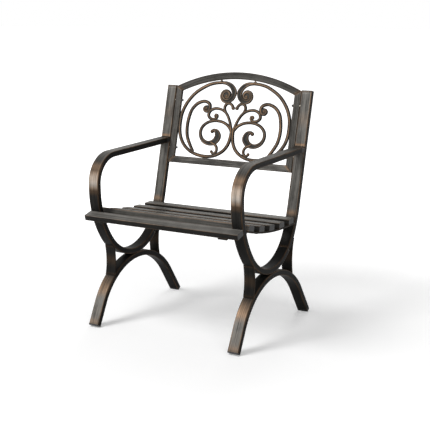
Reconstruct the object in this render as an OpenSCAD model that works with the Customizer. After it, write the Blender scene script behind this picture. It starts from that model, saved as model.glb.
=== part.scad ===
// Metal garden armchair: two bent tube side frames, six seat slats and a framed back with a cast scroll.
// Millimetres, +Z up. The chair faces -Y, X runs across it and the origin is on the floor at its middle.
// In a side view, y runs to the back and z up, and angles are counted from +y towards +z.

/* [Overall] */
// Width over the side frames, and the length of the slats
chair_w = 600; // [480:1:720]
// Height of the crown of the back
chair_h = 855; // [835:1:900]

/* [Frame tube] */
// Width of the flat-sided tube, across the chair
tube_w = 40; // [32:1:46]
// Thickness of the tube, in the side view
tube_t = 20; // [16:1:22]
// Wall of the tube
tube_wall = 1.5; // [1.2:0.1:2]
// Radius of the tube's long edges
tube_corner = 3; // [2.5:0.1:4]
// Gap left by a weld between two pieces
weld_gap = 0.2; // [0.1:0.05:0.4]

/* [Bowl and arm] */
// Outer radius of the bowl under the seat
bowl_r = 187; // [178:1:198]
// Turn of the bowl from its lowest point to the front upright
bowl_front_turn = 52; // [49:1:55]
// Turn of the bowl from its lowest point to the back post
bowl_rear_turn = 60; // [57:1:63]
// Where the arm tube and the back post are butted, behind the lowest point
seam_turn = 42; // [36:1:48]
// Outer radius of the front upright
upright_r = 314; // [300:1:330]
// Straight length of the upright below the arm bend
upright_len = 18; // [5:1:30]
// Outer radius of the bend at the front of the arm
arm_r = 106; // [95:1:115]
// Rise of the armrest towards the back, in degrees
arm_rise = 1; // [0:0.5:3]

/* [Back post] */
// Outer radius of the bend between bowl and post
post_r = 412; // [395:1:430]
// Lean of the post from the vertical, in degrees
rake = 15.35; // [14.5:0.05:17]
// Thickness of the cap's flange on the post
cap_t = 2; // [1.5:0.1:3]
// Length of the plug of a cap or a foot inside its tube
plug_len = 14; // [8:1:20]
// Length of the plug in the end of a slat
slat_plug_len = 8; // [5:1:12]
// Clearance between a plug and the bore of its tube
plug_gap = 0.15; // [0.1:0.05:0.3]

/* [Legs] */
// Height of the top of the leg arch
arch_h = 216; // [206:1:226]
// Outer radius of the leg arch
arch_r = 251; // [243:1:259]
// Distance of the arch's middle behind the lowest point of the bowl
arch_back = 18; // [10:1:26]
// Turn of the arch from its top to the straight front leg
front_leg_turn = 62; // [58:1:66]
// Turn of the arch from its top to the straight rear leg
rear_leg_turn = 56; // [52:1:60]
// Thickness of the foot below the tube's end
foot_t = 4; // [3:0.5:6]
// Height cut off the foot's lower corner, so that it stands flat
foot_flat = 1.5; // [1:0.1:2.5]

/* [Straps] */
// Thickness of the flat straps between bowl and legs
strap_t = 5; // [4:0.5:7]
// Bend radius of the straps
strap_r = 230; // [200:5:300]
// Front strap: distance of its middle in front of the bowl's lowest point
front_strap_y = 126; // [120:1:130]
// Rear strap: distance of its middle behind the bowl's lowest point
rear_strap_y = 144; // [138:1:147]
// Height of the straps' middle
strap_z = 222; // [215:1:230]

/* [Seat] */
// Width of a slat, front to back
slat_w = 38; // [32:1:39]
// Height of a slat
slat_h = 20; // [16:1:24]
// Wall of a slat
slat_wall = 1.2; // [1:0.1:2]
// Radius of a slat's long edges
slat_corner = 2.5; // [2.1:0.1:4]
// Radius of the dished seat rail, to its lower face
seat_r = 1030; // [960:10:1120]
// Distance of the seat's lowest point behind the bowl's lowest point
seat_back = 113; // [105:1:120]
// Height of the lower face of the seat rail at its lowest point
seat_z = 351; // [345:1:360]
// Thickness of the seat rail
rail_t = 5; // [4:0.5:7]
// Distance from one slat's middle to the next, along the rail
slat_pitch = 73; // [70:0.5:74]
// Distance of the rearmost slat's middle behind the seat's lowest point, along the rail
last_slat = 23; // [17:1:28]
// Height of the front slat's middle above the rail's lowest point
front_slat_rise = 43.8; // [33:0.2:55]
// Thickness of the bracket under the front slat
bracket_t = 4; // [3:0.5:5]
// Width of the bracket, across the chair
bracket_w = 34; // [28:1:40]
// Height of the bracket's flange against the upright
bracket_h = 22; // [18:1:30]

/* [Back] */
// Width of the flat tubes of the back frame
bar_w = 25; // [20:1:30]
// Depth of these tubes
bar_d = 10; // [9:0.5:12]
// Wall of these tubes
bar_wall = 1.2; // [1:0.1:1.5]
// Gap between post and back frame
side_gap = 1.5; // [1.2:0.1:3]
// Setback of the back frame behind the front face of the posts
back_in = 2; // [0.5:0.1:3]
// Outer radius of the arched top rail
crown_r = 595; // [570:1:620]
// Rise of the top rail's crown above the top of the posts, along them
crown_rise = 56.4; // [50:0.2:62]
// Length of the back frame below the top of the posts
back_len = 291; // [287:1:296]
// Thickness of the cast scroll
scroll_t = 8; // [6:0.5:9]
// Gap between the scroll and the stiles
scroll_side_gap = 0.3; // [0.2:0.1:2]
// Distance of the scroll above the bottom rail
scroll_low_gap = 1.5; // [1:0.5:3]
// Distance of the scroll below the top rail, where its upper lugs are
scroll_top_gap = 2.8; // [2:0.2:4]

/* [Fasteners] */
// Diameter of the bolts of the back
bolt_d = 5; // [4:0.5:5]
// Height of their socket heads
bolt_head_h = 5; // [4:0.5:6]
// Thickness of their washers
washer_t = 1; // [0.8:0.1:1.5]
// Distance of the upper bolts below the top of the posts
bolt_top = 55; // [49:1:64]
// Distance of the lower bolts above the lower end of the back frame
bolt_low = 57; // [47:1:67]
// Diameter of the slat screws
screw_d = 5; // [4:0.5:6]
// Diameter of the screws of the scroll
pin_d = 3; // [2.5:0.5:3.5]
// Clearance of a fastener in its hole, on the diameter
hole_gap = 0.4; // [0.3:0.1:0.6]
// Clearance of a bolt in its thread, on the diameter
thread_gap = 0.1; // [0.1:0.05:0.2]
// Length of the threaded inserts inside the posts
insert_len = 12; // [8:1:16]

/* [Hidden] */
$fn = 72;

tube_colour = "#3b3a38";
slat_colour = "#4a4743";
black_colour = "#161616";
cast_colour = "#6b5038";

insert_d = bolt_d + 2.5;
bolt_head_d = 1.7 * bolt_d;
pin_head_d = 1.8 * pin_d;
pin_head_h = 0.7 * pin_d;
pin_grip = 9;

// Directions in the side view
function dir(a) = [cos(a), sin(a)];

// Heights and lengths of the leg arch; its circle is given relative to the bowl's lowest point
arch_z = arch_h - arch_r;
function leg_len(turn) = (arch_z + (arch_r - tube_t) * cos(turn) + foot_flat) / sin(turn) - foot_t;

// Centres of the frame's circles, relative to the bowl's lowest point in y
bowl_z = arch_z + sqrt(pow(arch_r + bowl_r + weld_gap, 2) - pow(arch_back, 2));
front_a = 270 - bowl_front_turn;
rear_a = 270 + bowl_rear_turn;
upright_rel = [0, bowl_z] + (bowl_r - upright_r) * dir(front_a);
post_rel = [0, bowl_z] + (bowl_r - post_r) * dir(rear_a);
post_up = dir(90 - rake);

// Top of the front face of the posts
post_front_rel = post_rel + (post_r - tube_t) * dir(-rake);
post_top_z = chair_h - crown_rise * cos(rake) + back_in * sin(rake);
post_len = (post_top_z - post_front_rel[1]) / post_up[1] - cap_t;
post_top_rel = post_front_rel + (post_len + cap_t) * post_up;

// Where the front slat sits on the upright, in degrees below its straight length
slat_reach = upright_r + weld_gap + slat_w / 2;
front_slat_turn = asin((upright_rel[1] - seat_z - front_slat_rise) / slat_reach);

// The chair is centred front to back, from the front slat or the front feet to the back of the crown
slat_edge_rel = upright_rel + (slat_reach + slat_w / 2 - slat_corner) * dir(180 + front_slat_turn)
    + (slat_h / 2 - slat_corner) * dir(90 + front_slat_turn);
foot_tip_rel = [arch_back, arch_z] + arch_r * dir(90 + front_leg_turn)
    - (leg_len(front_leg_turn) + foot_t) * dir(front_leg_turn);
front_reach = min(slat_edge_rel[0] - slat_corner, foot_tip_rel[0]);
rear_reach = post_top_rel[0] + crown_rise * sin(rake) + (back_in + bar_d) * cos(rake);
bowl_y = -(front_reach + rear_reach) / 2;

bowl_c = [bowl_y, bowl_z];
upright_c = upright_rel + [bowl_y, 0];
post_c = post_rel + [bowl_y, 0];
arch_c = [bowl_y + arch_back, arch_z];
mid_r = tube_t / 2;

post_front = post_front_rel + [bowl_y, 0];
post_top = post_top_rel + [bowl_y, 0];

// Stations along a tube: [y, z, direction of travel]
function arc(c, r, from, to, step) =
    let (n = ceil(abs(to - from) / step), side = to > from ? 90 : -90)
    [for (i = [0:n]) let (a = from + (to - from) * i / n)
        [c[0] + r * cos(a), c[1] + r * sin(a), a + side]];
function ahead(s, len) = [s[0] + len * cos(s[2]), s[1] + len * sin(s[2]), s[2]];
function rest(list) = [for (i = [1:len(list) - 1]) list[i]];
function last(list) = list[len(list) - 1];

bowl_step = 6;
upright_step = 3;
arm_step = 6;
leg_step = 6;

arm_low = concat(
    arc(bowl_c, bowl_r - mid_r, 270 + seam_turn, front_a, bowl_step),
    rest(arc(upright_c, upright_r - mid_r, front_a, 180, upright_step)));
arm_bend_c = [last(arm_low)[0] + arm_r - mid_r, last(arm_low)[1] + upright_len];
arm_high = arc(arm_bend_c, arm_r - mid_r, 180, 90 + arm_rise, arm_step);
post_path = concat(
    arc(bowl_c, bowl_r - mid_r, 270 + seam_turn, rear_a, upright_step),
    rest(arc(post_c, post_r - mid_r, rear_a, 360 - rake, upright_step)));
arch_arc = arc(arch_c, arch_r - mid_r, 90 + front_leg_turn, 90 - rear_leg_turn, leg_step);
front_leg_end = ahead(arch_arc[0], -leg_len(front_leg_turn));
rear_leg_end = ahead(last(arch_arc), leg_len(rear_leg_turn));

// Corner points of a w by t section with rounded long edges, three to a corner
function ring(w, t, r) = [for (q = [0:3], k = [0:2])
    let (sx = q == 0 || q == 3 ? 1 : -1, sn = q < 2 ? 1 : -1, a = 90 * q + 45 * k)
    [sx * (w / 2 - r) + r * cos(a), sn * (t / 2 - r) + r * sin(a)]];
function box(w, t) = [[w / 2, t / 2], [-w / 2, t / 2], [-w / 2, -t / 2], [w / 2, -t / 2]];

// A section point [x, n] placed at a station; past a straight station it runs on to a cut line
function place(s, p) = [p[0], s[0] - p[1] * sin(s[2]), s[1] + p[1] * cos(s[2])];
function to_line(s, p, q, up) =
    let (from = place(s, p), normal = [up[1], -up[0]], travel = dir(s[2]),
        run = ([q[0] - from[1], q[1] - from[2]] * normal) / (travel * normal))
    [from[0], from[1] + run * travel[0], from[2] + run * travel[1]];

// Skin between rings of m points, and the annular end between an outer ring and a square bore
function skin(start, m, count, flip) = [for (i = [0:count - 2], j = [0:m - 1])
    let (a = start + i * m + j, b = start + i * m + (j + 1) % m)
    flip ? [a, a + m, b + m, b] : [a, b, b + m, a + m]];
function rim(outer, inner, flip) = [for (k = [0:3])
    each let (o = outer + 3 * k, next = outer + 3 * ((k + 1) % 4), i = inner + k, j = inner + (k + 1) % 4)
        flip ? [[o, o + 1, i], [o + 1, o + 2, i], [o + 2, next, j, i]]
            : [[o + 1, o, i], [o + 2, o + 1, i], [next, o + 2, i, j]]];

// Hollow tube along stations; when a cut line is given, the tube runs on from its last station to it
module tube(stations, cut = undef) {
    outer = ring(tube_w, tube_t, tube_corner);
    bore = box(tube_w - 2 * tube_wall, tube_t - 2 * tube_wall);
    count = len(stations) + (cut == undef ? 0 : 1);
    skin_points = [for (s = stations, p = outer) place(s, p)];
    bore_points = [for (s = stations, p = bore) place(s, p)];
    skin_end = cut == undef ? [] : [for (p = outer) to_line(last(stations), p, cut[0], cut[1])];
    bore_end = cut == undef ? [] : [for (p = bore) to_line(last(stations), p, cut[0], cut[1])];
    m = len(outer);
    inner = m * count;
    polyhedron(
        points = concat(skin_points, skin_end, bore_points, bore_end),
        faces = concat(
            skin(0, m, count, false),
            skin(inner, 4, count, true),
            rim(0, inner, false),
            rim(m * (count - 1), inner + 4 * (count - 1), true)),
        convexity = 10);
}

// Places a piece of the right side frame, and mirrors it for the left one
side_x = (chair_w - tube_w) / 2;
module right() {
    translate([side_x, 0, 0]) children();
}
module left() {
    mirror([1, 0, 0]) right() children();
}

// Extrudes a side view drawing across the chair, centred on x = 0
module across(w) {
    rotate([90, 0, 90]) linear_extrude(w, center = true) children();
}

// Rounded bar section drawn from exact pieces
module rounded(w, h, r) {
    square([w - 2 * r, h], center = true);
    square([w, h - 2 * r], center = true);
    for (x = [-1, 1], y = [-1, 1])
        translate([x * (w / 2 - r), y * (h / 2 - r)]) circle(r);
}

// Side frame
arm_stations = concat(arm_low, arm_high);
module arm_tube() {
    color(tube_colour) tube(arm_stations, [post_front - weld_gap * [cos(rake), -sin(rake)], post_up]);
}

post_stations = concat(post_path, [ahead(last(post_path), post_len)]);
module back_post() {
    color(tube_colour) difference() {
        tube(post_stations);
        translate([-side_x, 0, 0]) back_frame() bolt_places()
            cylinder(d = insert_d + hole_gap, h = 4 * tube_wall, center = true);
    }
}

leg_stations = concat([front_leg_end], arch_arc, [rear_leg_end]);
module leg_arch() {
    color(tube_colour) tube(leg_stations);
}

// A strap is a short length of a ring, and its ends are shaped to the tubes that it is welded to
module strap(y, bulge) {
    reach = 2 * tube_w;
    color(tube_colour) across(tube_w) difference() {
        intersection() {
            translate([bowl_y + y + bulge * strap_r, strap_z]) difference() {
                circle(strap_r + strap_t / 2, $fn = 180);
                circle(strap_r - strap_t / 2, $fn = 180);
            }
            translate([bowl_y + y, strap_z]) square([reach, 2 * reach], center = true);
        }
        translate(bowl_c) circle(bowl_r + weld_gap, $fn = 180);
        translate(arch_c) circle(arch_r + weld_gap, $fn = 180);
    }
}
module front_strap() {
    strap(-front_strap_y, -1);
}
module rear_strap() {
    strap(rear_strap_y, 1);
}

// The dished seat rail runs from the upright to the post
seat_c = [bowl_y + seat_back, seat_z + seat_r];
module seat_rail() {
    color(tube_colour) difference() {
        across(tube_w) intersection() {
            difference() {
                translate(seat_c) circle(seat_r, $fn = 360);
                translate(seat_c) circle(seat_r - rail_t, $fn = 360);
            }
            translate(upright_c) circle(upright_r - tube_t - weld_gap, $fn = 180);
            translate(post_c) circle(post_r - tube_t - weld_gap, $fn = 180);
        }
        for (i = [2:6])
            on_rail(i) cylinder(d = screw_d + hole_gap, h = 4 * rail_t, center = true);
    }
}

// Slats two to six ride on the rail on the edges of their flat undersides
slat_seat = sqrt(pow(seat_r - rail_t, 2) - pow(slat_w / 2 - slat_corner, 2)) - weld_gap;
function slat_angle(i) = ((6 - i) * slat_pitch - last_slat) / seat_r * 180 / PI;
module on_rail(i) {
    translate([0, seat_c[0], seat_c[1]]) rotate([-slat_angle(i), 0, 0]) translate([0, 0, -slat_seat])
        children();
}
module on_upright() {
    translate([0, upright_c[0], upright_c[1]]) rotate([front_slat_turn, 0, 0])
        translate([0, -slat_reach, -slat_h / 2]) children();
}
module slat(hole_x) {
    color(slat_colour) difference() {
        translate([0, 0, slat_h / 2]) rotate([90, 0, 90]) linear_extrude(chair_w, center = true)
            difference() {
                rounded(slat_w, slat_h, slat_corner);
                square([slat_w - 2 * slat_wall, slat_h - 2 * slat_wall], center = true);
            }
        for (x = [-hole_x, hole_x])
            translate([x, 0, 0]) cylinder(d = screw_d + hole_gap, h = 4 * slat_wall, center = true);
    }
}
module front_slat() {
    on_upright() slat(bracket_x);
}

// Both end plugs of a slat, flush with its ends
module plug_pair() {
    inset = slat_wall + plug_gap;
    for (x = [-1, 1])
        translate([x * (chair_w - slat_plug_len) / 2, 0, slat_h / 2])
            cube([slat_plug_len, slat_w - 2 * inset, slat_h - 2 * inset], center = true);
}
module slat_plugs() {
    color(black_colour) {
        on_upright() plug_pair();
        for (i = [2:6]) on_rail(i) plug_pair();
    }
}

// Pan head screws that hold the slats from below, with the grip under the slat
module screw_pair(x, grip) {
    head_h = 0.6 * screw_d;
    for (side = [-x, x])
        translate([side, 0, -grip - head_h]) {
            cylinder(d = 2 * screw_d, h = head_h);
            cylinder(d = screw_d, h = head_h + grip + 2 * screw_d);
        }
}
module slat_screws() {
    color(black_colour) {
        on_upright() screw_pair(bracket_x, bracket_t);
        for (i = [2:6]) on_rail(i) screw_pair(side_x, seat_r - slat_seat);
    }
}

// The bracket is an angle: its shelf is under the front slat and its flange stands against the upright
bracket_x = side_x - tube_w / 2 - weld_gap - bracket_w / 2;
module slat_bracket() {
    shelf = slat_w + tube_t;
    color(tube_colour) translate([-tube_w / 2 - weld_gap, 0, 0]) on_upright() difference() {
        translate([0, -slat_w / 2, -bracket_t]) {
            translate([-bracket_w, 0, 0]) cube([bracket_w, shelf, bracket_t - weld_gap]);
            translate([-bracket_t, slat_w, bracket_t - bracket_h])
                cube([bracket_t, tube_t, bracket_h - bracket_t]);
        }
        translate([-bracket_w / 2, 0, 0])
            cylinder(d = screw_d + hole_gap, h = 4 * bracket_t, center = true);
    }
}

// Cap of the post
module post_cap() {
    color(black_colour) translate([0, post_top[0], post_top[1]]) rotate([-rake, 0, 0])
        translate([0, tube_t / 2, -cap_t]) {
            linear_extrude(cap_t) rounded(tube_w, tube_t, tube_corner);
            plug();
        }
}
module plug() {
    translate([0, 0, -plug_len / 2])
        cube([tube_w - 2 * tube_wall - 2 * plug_gap, tube_t - 2 * tube_wall - 2 * plug_gap, plug_len],
            center = true);
}

// Foot: a flange below the tube's end, cut level with the floor, and a plug
module foot(end, lean) {
    color(black_colour) difference() {
        translate([0, end[0], end[1]]) rotate([lean, 0, 0]) {
            translate([0, 0, -foot_t]) linear_extrude(foot_t) rounded(tube_w, tube_t, tube_corner);
            translate([0, 0, plug_len]) plug();
        }
        translate([0, end[0], -tube_w / 2]) cube([2 * tube_w, 2 * tube_w, tube_w], center = true);
    }
}
module front_foot() {
    foot(front_leg_end, front_leg_turn - 90);
}
module rear_foot() {
    foot(rear_leg_end, 90 - rear_leg_turn);
}

// Back frame, drawn standing on its own plane: x across, y to the back, z up along the posts
module back_frame() {
    translate([0, post_top[0], post_top[1]]) rotate([-rake, 0, 0]) children();
}
half_back = side_x - tube_w / 2 - side_gap;
crown_c = crown_rise - crown_r;
function crown_at(x, r) = crown_c + sqrt(r * r - x * x);
function rail_face(x) = crown_at(x, crown_r - bar_w);
corner_out = [half_back, crown_at(half_back, crown_r)];
corner_in = [half_back - bar_w, crown_at(half_back - bar_w, crown_r - bar_w)];
bar_y = back_in + bar_d / 2;

// Sides of the mitre at the top corner and at the bottom corner, as flat regions in front view
module top_region() {
    far = corner_out + 4 * (corner_out - corner_in);
    near = corner_in - 4 * (corner_out - corner_in);
    polygon([near, far, [far[0], crown_rise + bar_w], [near[0], crown_rise + bar_w]]);
}
module bottom_region() {
    polygon([[half_back + bar_w, -back_len - bar_w], [half_back - 2 * bar_w, -back_len - bar_w],
        [half_back - 2 * bar_w, -back_len + 2 * bar_w]]);
}
module in_front_view(depth) {
    translate([0, bar_y, 0]) rotate([90, 0, 0]) linear_extrude(depth, center = true) children();
}

module top_rail() {
    color(tube_colour) back_frame() difference() {
        in_front_view(bar_d) top_outline(0);
        in_front_view(bar_d - 2 * bar_wall) top_outline(bar_wall);
        for (x = [-upper_lug_x, upper_lug_x])
            translate([x, bar_y, rail_face(x)])
                cylinder(d = pin_d + hole_gap, h = 2 * bar_wall + 2, center = true);
    }
}
module top_outline(inset) {
    intersection() {
        translate([0, crown_c]) difference() {
            circle(crown_r - inset, $fn = 360);
            circle(crown_r - bar_w + inset, $fn = 360);
        }
        union() {
            top_region();
            mirror([1, 0]) top_region();
            translate([0, crown_rise - bar_w]) square([2 * corner_in[0], 4 * bar_w], center = true);
        }
    }
}
module stile() {
    color(tube_colour) back_frame() difference() {
        in_front_view(bar_d) stile_outline(0);
        in_front_view(bar_d - 2 * bar_wall) stile_outline(bar_wall);
        bolt_places()
            cylinder(d = bolt_d + hole_gap, h = 3 * bar_w, center = true);
    }
}
module stile_outline(inset) {
    top = corner_out[1] + bar_w;
    difference() {
        translate([half_back - bar_w + inset, -back_len]) square([bar_w - 2 * inset, back_len + top]);
        top_region();
        bottom_region();
    }
}
module bottom_rail() {
    color(tube_colour) back_frame() difference() {
        in_front_view(bar_d) bottom_outline(0);
        in_front_view(bar_d - 2 * bar_wall) bottom_outline(bar_wall);
        for (x = [-lower_lug_x, lower_lug_x])
            translate([x, bar_y, bar_w - back_len])
                cylinder(d = pin_d + hole_gap, h = 2 * bar_wall + 2, center = true);
    }
}
module bottom_outline(inset) {
    intersection() {
        translate([-half_back, inset - back_len]) square([2 * half_back, bar_w - 2 * inset]);
        union() {
            bottom_region();
            mirror([1, 0]) bottom_region();
            translate([0, -back_len]) square([2 * half_back - 2 * bar_w, 4 * bar_w], center = true);
        }
    }
}

// Cast scroll. Each strand of its right half is a smooth curve through [x, height, width],
// with heights counted from the top of the posts, drawn for a chair of the real size.
outer_strand = [[66, 18.5, 11], [95, 15.5, 10], [128, 4.5, 10], [173, -23.5, 10], [205, -59, 10],
    [223, -96.5, 10], [228, -132.5, 10], [226, -169, 10], [215, -200.5, 10], [191, -229.5, 10],
    [156, -249.5, 10], [109, -259, 11], [66, -254.5, 10], [32, -236.5, 10], [12, -210.5, 10],
    [4.5, -179, 10], [4.5, -152, 10]];
crown_strand = [[72, 18.5, 10], [46, 16.5, 14], [24, 3.5, 17], [10, -16.5, 19], [11, -36, 17],
    [23, -50, 12], [40, -54, 8]];
inner_strand = [[157, -241.5, 6], [172, -221.5, 9], [188, -192, 10], [194, -161, 10], [193, -127.5, 10],
    [184, -91.5, 10], [164, -67, 10], [138, -56, 10], [117, -58, 10], [105, -70, 9], [106, -83, 8]];
spiral_strand = [[4, -164, 9], [10, -152, 9], [25, -137.5, 9], [49, -127.5, 9], [80, -125.5, 9],
    [110, -134.5, 9], [130, -154, 9], [133, -179, 10], [119, -200.5, 12], [95, -209.5, 14],
    [70, -202.5, 19], [58, -184, 21], [64, -166, 15], [78, -160, 8]];
tail_strand = [[82, -205.5, 8], [62, -216.5, 8], [56, -231.5, 8], [63, -246.5, 7], [74, -245.5, 7]];
fern_strand = [[3, -164, 8], [7, -149, 8], [16, -123.5, 8], [32, -97.5, 8], [55, -83, 8], [82, -80, 9],
    [102, -89.5, 9], [108, -105.5, 9], [98, -117.5, 9], [82, -119.5, 8], [71, -113.5, 7],
    [70, -107.5, 6]];
stem_strand = [[30, -100.5, 7], [41, -84, 7], [43, -71, 8], [36, -61, 8], [24, -59, 8], [12, -66, 8],
    [7, -75, 8]];
strands = [outer_strand, crown_strand, inner_strand, spiral_strand, tail_strand, fern_strand, stem_strand];
// Where the scroll's lugs are drawn, and their width
drawn_upper_lug = 70;
drawn_lower_lug = 109;
lug_w = 9;
// Round ends of the strands: [x, height, radius]
buds = [[42, -32, 20], [119, -83, 15], [84, -165, 7], [78, -240.5, 5.5], [78, -108.5, 6.5],
    [6.5, -76, 7]];

// Catmull-Rom curve through a strand's points, and its two edges
spline_steps = 3;
function blend(a, b, c, d, t) = 0.5 * (2 * b + (c - a) * t + (2 * a - 5 * b + 4 * c - d) * t * t
    + (3 * b - a - 3 * c + d) * t * t * t);
function curve(p) = let (n = len(p) - 1) concat([for (i = [0:n - 1], k = [0:spline_steps - 1])
    blend(p[max(i - 1, 0)], p[i], p[i + 1], p[min(i + 2, n)], k / spline_steps)], [p[n]]);
function unit(v) = v / norm(v);
function edge(c, side) = [for (i = [0:len(c) - 1])
    let (d = c[min(i + 1, len(c) - 1)] - c[max(i - 1, 0)], u = unit([d[0], d[1]]))
    [c[i][0] - side * u[1] * c[i][2] / 2, c[i][1] + side * u[0] * c[i][2] / 2]];
function reversed(list) = [for (i = [len(list) - 1:-1:0]) list[i]];
module strand(points) {
    c = curve(points);
    polygon([for (p = concat(edge(c, 1), reversed(edge(c, -1)))) fitted(p)]);
}

// The drawing is fitted to the opening of the back frame, with its gap at each side
drawn = [for (s = strands, side = [-1, 1]) each edge(curve(s), side)];
drawn_half = max([for (p = drawn) p[0]]);
drawn_low = min([for (p = drawn) p[1]]);
drawn_high = max([for (p = drawn) p[1]]);
fit_x = (half_back - bar_w - scroll_side_gap) / drawn_half;
upper_lug_x = fit_x * drawn_upper_lug;
lower_lug_x = fit_x * drawn_lower_lug;
fit_low = bar_w - back_len + scroll_low_gap;
fit_high = rail_face(upper_lug_x) - scroll_top_gap;
fit_z = (fit_high - fit_low) / (drawn_high - drawn_low);
function fitted(p) = [fit_x * p[0], fit_low + fit_z * (p[1] - drawn_low)];

// Lugs reach from the strands to the frame where the scroll's screws pass
module lug(x, from, to) {
    polygon([[x - lug_w / 2, from], [x + lug_w / 2, from], [x + lug_w / 2, to], [x - lug_w / 2, to]]);
}
module half_scroll() {
    for (s = strands) in_front_view(scroll_t) strand(s);
    for (b = buds) in_front_view(scroll_t) translate(fitted(b)) circle(max(fit_x, fit_z) * b[2]);
    upper_end = rail_face(upper_lug_x + lug_w / 2) - weld_gap;
    in_front_view(scroll_t) lug(upper_lug_x, fitted(crown_strand[0])[1], upper_end);
    in_front_view(scroll_t) lug(lower_lug_x, fitted(outer_strand[11])[1], bar_w - back_len + weld_gap);
}
module scroll_panel() {
    color(cast_colour) back_frame() difference() {
        union() {
            half_scroll();
            mirror([1, 0, 0]) half_scroll();
        }
        pin_places() {
            cylinder(d = pin_d + hole_gap, h = 4 * pin_grip, center = true);
            translate([0, 0, -3 * pin_grip]) cylinder(d = pin_head_d + hole_gap, h = 2 * pin_grip);
        }
    }
}
module pin_places() {
    for (x = [-1, 1]) {
        translate([x * upper_lug_x, bar_y, rail_face(upper_lug_x)]) children();
        translate([x * lower_lug_x, bar_y, bar_w - back_len]) mirror([0, 0, 1]) children();
    }
}

// Screws of the scroll: the head sits in a pocket in the strand
module panel_screws() {
    color(black_colour) back_frame() pin_places() {
        translate([0, 0, -pin_grip - pin_head_h]) {
            cylinder(d = pin_head_d, h = pin_head_h);
            cylinder(d = pin_d, h = pin_head_h + pin_grip + 2 * pin_d);
        }
    }
}

// Bolts of the back: along x through each stile into a threaded insert in the post
module bolt_places() {
    for (z = [-bolt_top, bolt_low - back_len])
        translate([side_x - tube_w / 2, bar_y, z]) rotate([0, 90, 0]) children();
}
module both_sides() {
    back_frame() for (side = [0, 1]) mirror([side, 0, 0]) bolt_places() children();
}
stile_face = side_gap + bar_w;
module back_bolts() {
    head = stile_face + washer_t + bolt_head_h;
    color(black_colour) both_sides() difference() {
        union() {
            translate([0, 0, -head]) cylinder(d = bolt_head_d, h = bolt_head_h);
            translate([0, 0, -head]) cylinder(d = bolt_d, h = head + insert_len - 1);
        }
        translate([0, 0, -head - 1]) cylinder(d = bolt_d, h = bolt_head_h / 2 + 1, $fn = 6);
    }
}
module back_washers() {
    color(black_colour) both_sides() translate([0, 0, -stile_face - washer_t]) difference() {
        cylinder(d = bar_d, h = washer_t - thread_gap);
        cylinder(d = bolt_d + hole_gap, h = 3 * washer_t, center = true);
    }
}
module back_inserts() {
    flange = side_gap - weld_gap;
    color(cast_colour) both_sides() difference() {
        union() {
            translate([0, 0, -flange]) cylinder(d = insert_d + 2, h = flange - thread_gap);
            translate([0, 0, -flange / 2]) cylinder(d = insert_d, h = flange / 2 + insert_len);
        }
        cylinder(d = bolt_d + thread_gap, h = 3 * insert_len, center = true);
    }
}

left() arm_tube();  // left_arm_tube
right() arm_tube();  // right_arm_tube
left() back_post();  // left_back_post
right() back_post();  // right_back_post
left() leg_arch();  // left_leg_arch
right() leg_arch();  // right_leg_arch
left() front_strap();  // left_front_strap
right() front_strap();  // right_front_strap
left() rear_strap();  // left_rear_strap
right() rear_strap();  // right_rear_strap
left() seat_rail();  // left_seat_rail
right() seat_rail();  // right_seat_rail
left() slat_bracket();  // left_slat_bracket
right() slat_bracket();  // right_slat_bracket
left() post_cap();  // left_post_cap
right() post_cap();  // right_post_cap
left() front_foot();  // left_front_foot
right() front_foot();  // right_front_foot
left() rear_foot();  // left_rear_foot
right() rear_foot();  // right_rear_foot
front_slat();
on_rail(2) slat(side_x);  // slat_2
on_rail(3) slat(side_x);  // slat_3
on_rail(4) slat(side_x);  // slat_4
on_rail(5) slat(side_x);  // slat_5
on_rail(6) slat(side_x);  // slat_6
slat_plugs();
slat_screws();
top_rail();
mirror([1, 0, 0]) stile();  // left_stile
stile();  // right_stile
bottom_rail();
scroll_panel();
panel_screws();
back_bolts();
back_washers();
back_inserts();
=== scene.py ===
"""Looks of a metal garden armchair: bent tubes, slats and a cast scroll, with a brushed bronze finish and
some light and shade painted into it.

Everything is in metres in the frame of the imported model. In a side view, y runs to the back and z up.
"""

import bpy
import numpy as np
from bpy.props import FloatProperty, FloatVectorProperty, PointerProperty
from mathutils import Matrix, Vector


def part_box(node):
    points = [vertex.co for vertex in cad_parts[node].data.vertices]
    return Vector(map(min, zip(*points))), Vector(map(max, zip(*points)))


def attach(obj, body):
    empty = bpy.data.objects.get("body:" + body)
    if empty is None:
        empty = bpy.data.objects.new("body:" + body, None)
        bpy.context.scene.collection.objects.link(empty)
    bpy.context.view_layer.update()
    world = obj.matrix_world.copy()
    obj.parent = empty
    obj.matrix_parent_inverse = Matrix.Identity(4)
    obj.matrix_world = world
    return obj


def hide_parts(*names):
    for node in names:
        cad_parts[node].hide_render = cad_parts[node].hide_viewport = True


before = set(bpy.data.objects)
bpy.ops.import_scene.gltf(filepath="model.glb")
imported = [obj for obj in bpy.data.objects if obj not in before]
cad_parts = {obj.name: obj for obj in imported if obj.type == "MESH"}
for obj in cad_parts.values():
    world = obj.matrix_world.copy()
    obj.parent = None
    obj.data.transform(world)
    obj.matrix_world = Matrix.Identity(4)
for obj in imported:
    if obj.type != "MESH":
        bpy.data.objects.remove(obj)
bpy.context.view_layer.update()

bl_info = {
    "name": "Garden armchair",
    "version": (1, 0, 0),
    "blender": (4, 5, 0),
    "location": "3D View > Sidebar > Armchair",
    "description": "Builds the pieces and finishes of a metal garden armchair around its frame",
    "category": "Object",
}

SIDES = (("left", -1), ("right", 1))
BODY = "root"
QUARTER = np.pi / 2

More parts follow.
